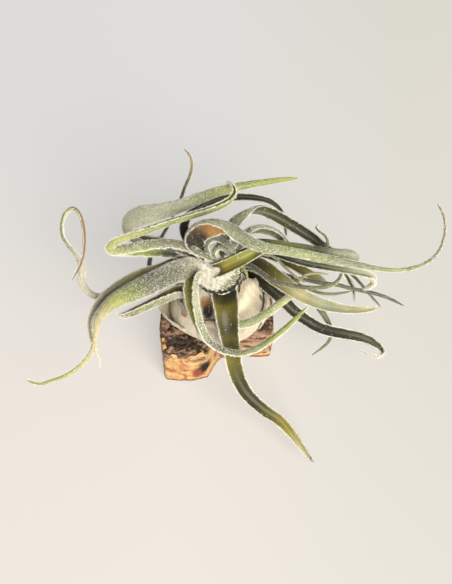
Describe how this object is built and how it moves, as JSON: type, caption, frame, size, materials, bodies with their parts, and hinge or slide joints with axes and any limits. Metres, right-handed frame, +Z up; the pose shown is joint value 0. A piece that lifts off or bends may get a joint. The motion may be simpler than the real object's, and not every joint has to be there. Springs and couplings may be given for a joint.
{
  "type": "seleriana hybrid air plant on cork bark",
  "caption": "Air plant with a swollen bulb of leaf sheaths and long curling channelled leaves, growing on a chunk of cork bark.",
  "frame": {"origin": "middle of the cork bark's flat underside", "axes": "+Z up, -Y towards the hanging front leaf, +X along the plant's longest spread"},
  "size_m": [0.2153, 0.145, 0.1085],
  "materials": {
    "cork": "rough cork bark, dark outside and tan where it is cut",
    "woolly_sheath": "matt, white and woolly",
    "dry_sheath": "dry, papery and finely ribbed",
    "leaf_olive": "smooth olive inside of a leaf with scurf along its margins",
    "leaf_silver": "green under silver scurf",
    "leaf_faded": "pale scurf, turning russet towards the tip"
  },
  "bodies": {
    "root": {"bulb": "woolly_sheath", "cork_bark": "cork", "leaf_back_dark": "leaf_olive", "leaf_back_thin": "leaf_faded", "leaf_bulb_crossing": "leaf_silver", "leaf_centre_channel": "leaf_silver", "leaf_centre_hook": "leaf_silver", "leaf_front_hanging": "leaf_olive", "leaf_front_loop": "leaf_silver", "leaf_heart_lower": "leaf_silver", "leaf_heart_upper": "leaf_silver", "leaf_left_broad": "leaf_silver", "leaf_left_folded": "leaf_silver", "leaf_left_low": "leaf_silver", "leaf_left_rear": "leaf_olive", "leaf_left_ribbon": "leaf_faded", "leaf_right_back": "leaf_olive", "leaf_right_dark": "leaf_olive", "leaf_right_drooping": "leaf_silver", "leaf_right_fold": "leaf_silver", "leaf_right_hanging": "leaf_silver", "leaf_right_hook": "leaf_silver", "leaf_right_inner": "leaf_silver", "leaf_right_olive": "leaf_olive", "leaf_right_rear_curl": "leaf_silver", "leaf_right_russet": "leaf_faded", "leaf_right_slender": "leaf_silver", "leaf_right_strip": "leaf_olive", "leaf_right_tendril": "leaf_silver", "leaf_right_yellow": "leaf_silver", "leaf_ring": "leaf_silver", "leaf_top_arch": "leaf_silver", "leaf_top_broad": "leaf_silver", "sheath_back": "dry_sheath", "sheath_collar": "woolly_sheath", "sheath_front": "dry_sheath", "sheath_left": "dry_sheath", "sheath_left_outer": "dry_sheath", "sheath_right": "dry_sheath", "sheath_right_outer": "dry_sheath"}
  },
  "joints": []
}
